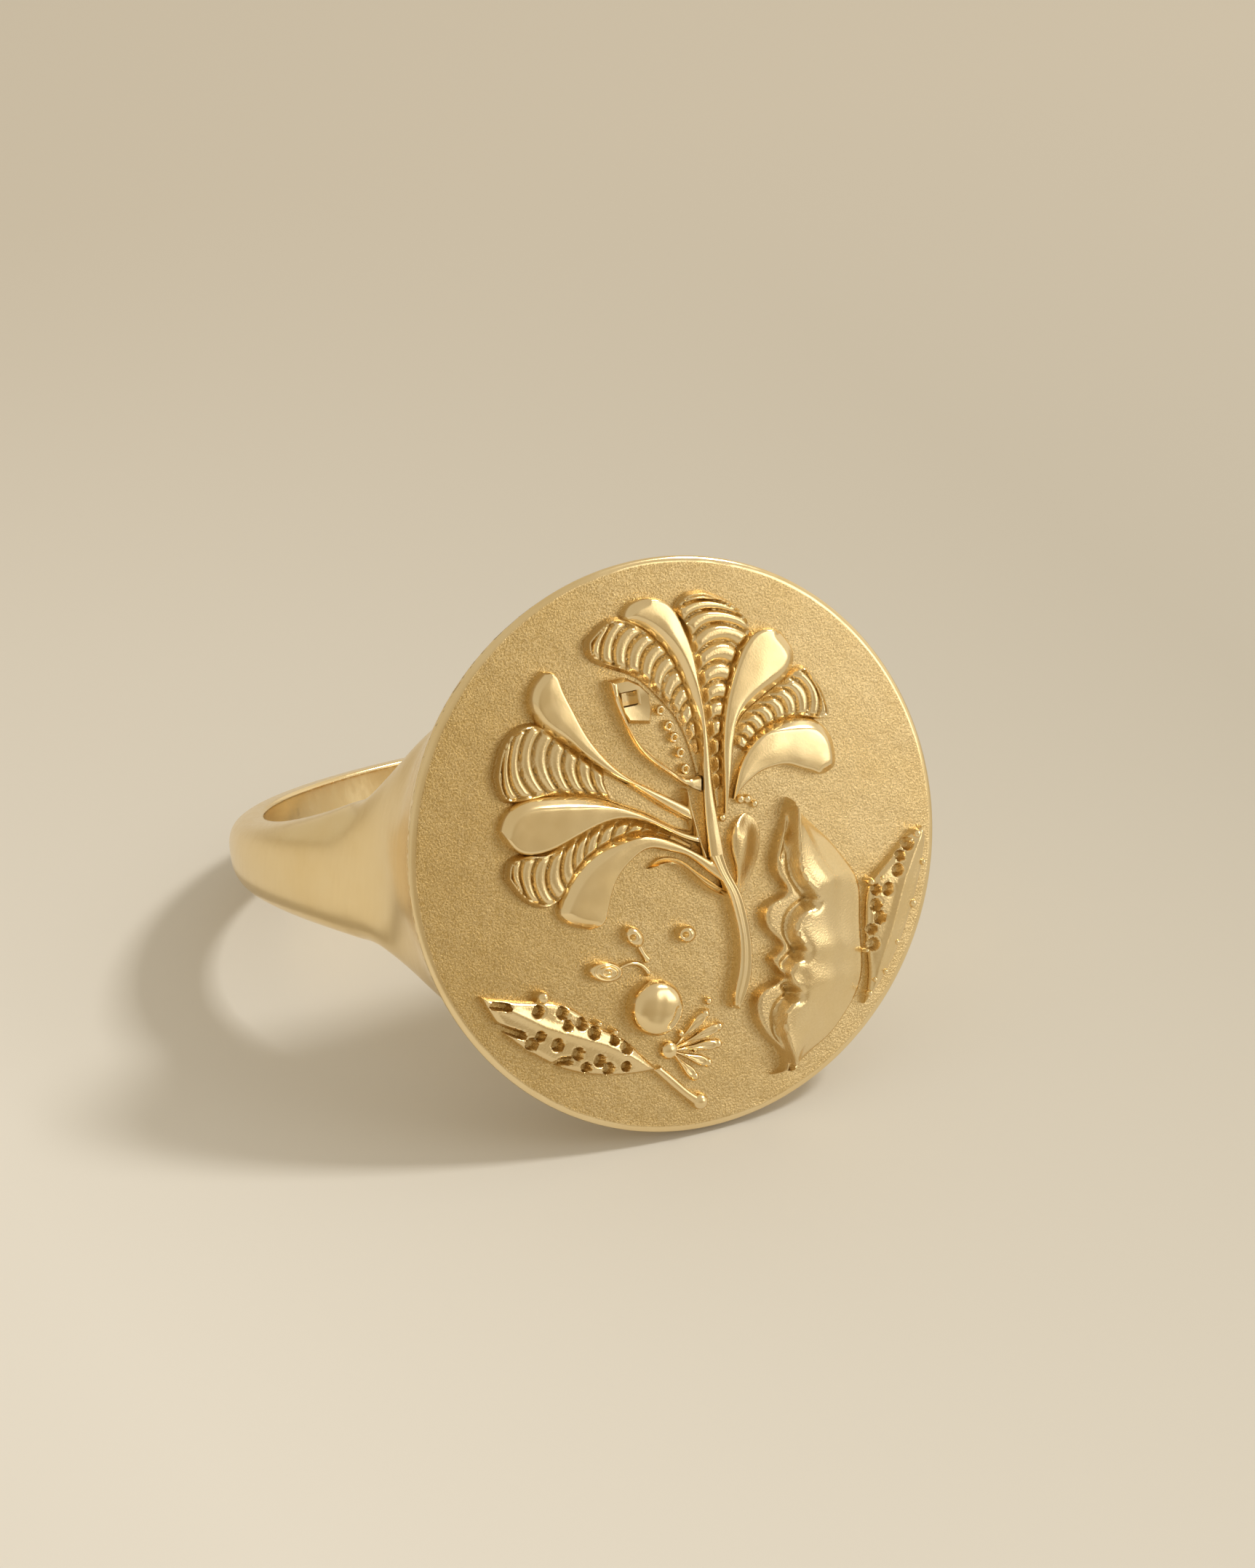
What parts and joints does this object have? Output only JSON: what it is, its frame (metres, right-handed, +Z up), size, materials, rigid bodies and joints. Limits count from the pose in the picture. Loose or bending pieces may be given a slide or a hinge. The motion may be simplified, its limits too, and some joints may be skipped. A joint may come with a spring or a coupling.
{
  "type": "signet ring",
  "caption": "Signet ring with a round frosted face that carries a flower, leaves and berries in raised polished relief, a flared head and a slim domed shank, lying on its side.",
  "frame": {"origin": "on the surface the ring lies on, under the middle of its bounding box", "axes": "+Z up; the face looks towards -Y and leans back; +X to the right as the face is seen; the ring lies on the lower edges of its face plate and of the back of its shank"},
  "size_m": [0.0188, 0.022, 0.016],
  "materials": {
    "polished_gold": "polished pale yellow gold",
    "frosted_gold": "sandblasted matte yellow gold with a narrow polished edge",
    "satin_gold": "satin brushed yellow gold"
  },
  "bodies": {
    "root": {"acanthus_leaf": "polished_gold", "bead_row": "polished_gold", "berry": "polished_gold", "bud_left": "polished_gold", "bud_middle": "polished_gold", "bud_right": "polished_gold", "calyx_grains": "polished_gold", "face_plate": "frosted_gold", "fan_left": "polished_gold", "fan_lower_left": "polished_gold", "fan_right": "polished_gold", "fan_top_left": "polished_gold", "fan_top_right": "polished_gold", "fern_stalk": "polished_gold", "flower_stem": "polished_gold", "left_fern_leaf": "polished_gold", "left_sepal": "polished_gold", "petal_left": "polished_gold", "petal_lower_left": "polished_gold", "petal_right": "polished_gold", "petal_top": "polished_gold", "petal_upper_left": "polished_gold", "petal_upper_right": "polished_gold", "right_calyx": "polished_gold", "right_fern_leaf": "polished_gold", "seed_bud": "polished_gold", "shank": "satin_gold", "signet_head": "satin_gold", "sprig": "polished_gold"}
  },
  "joints": []
}
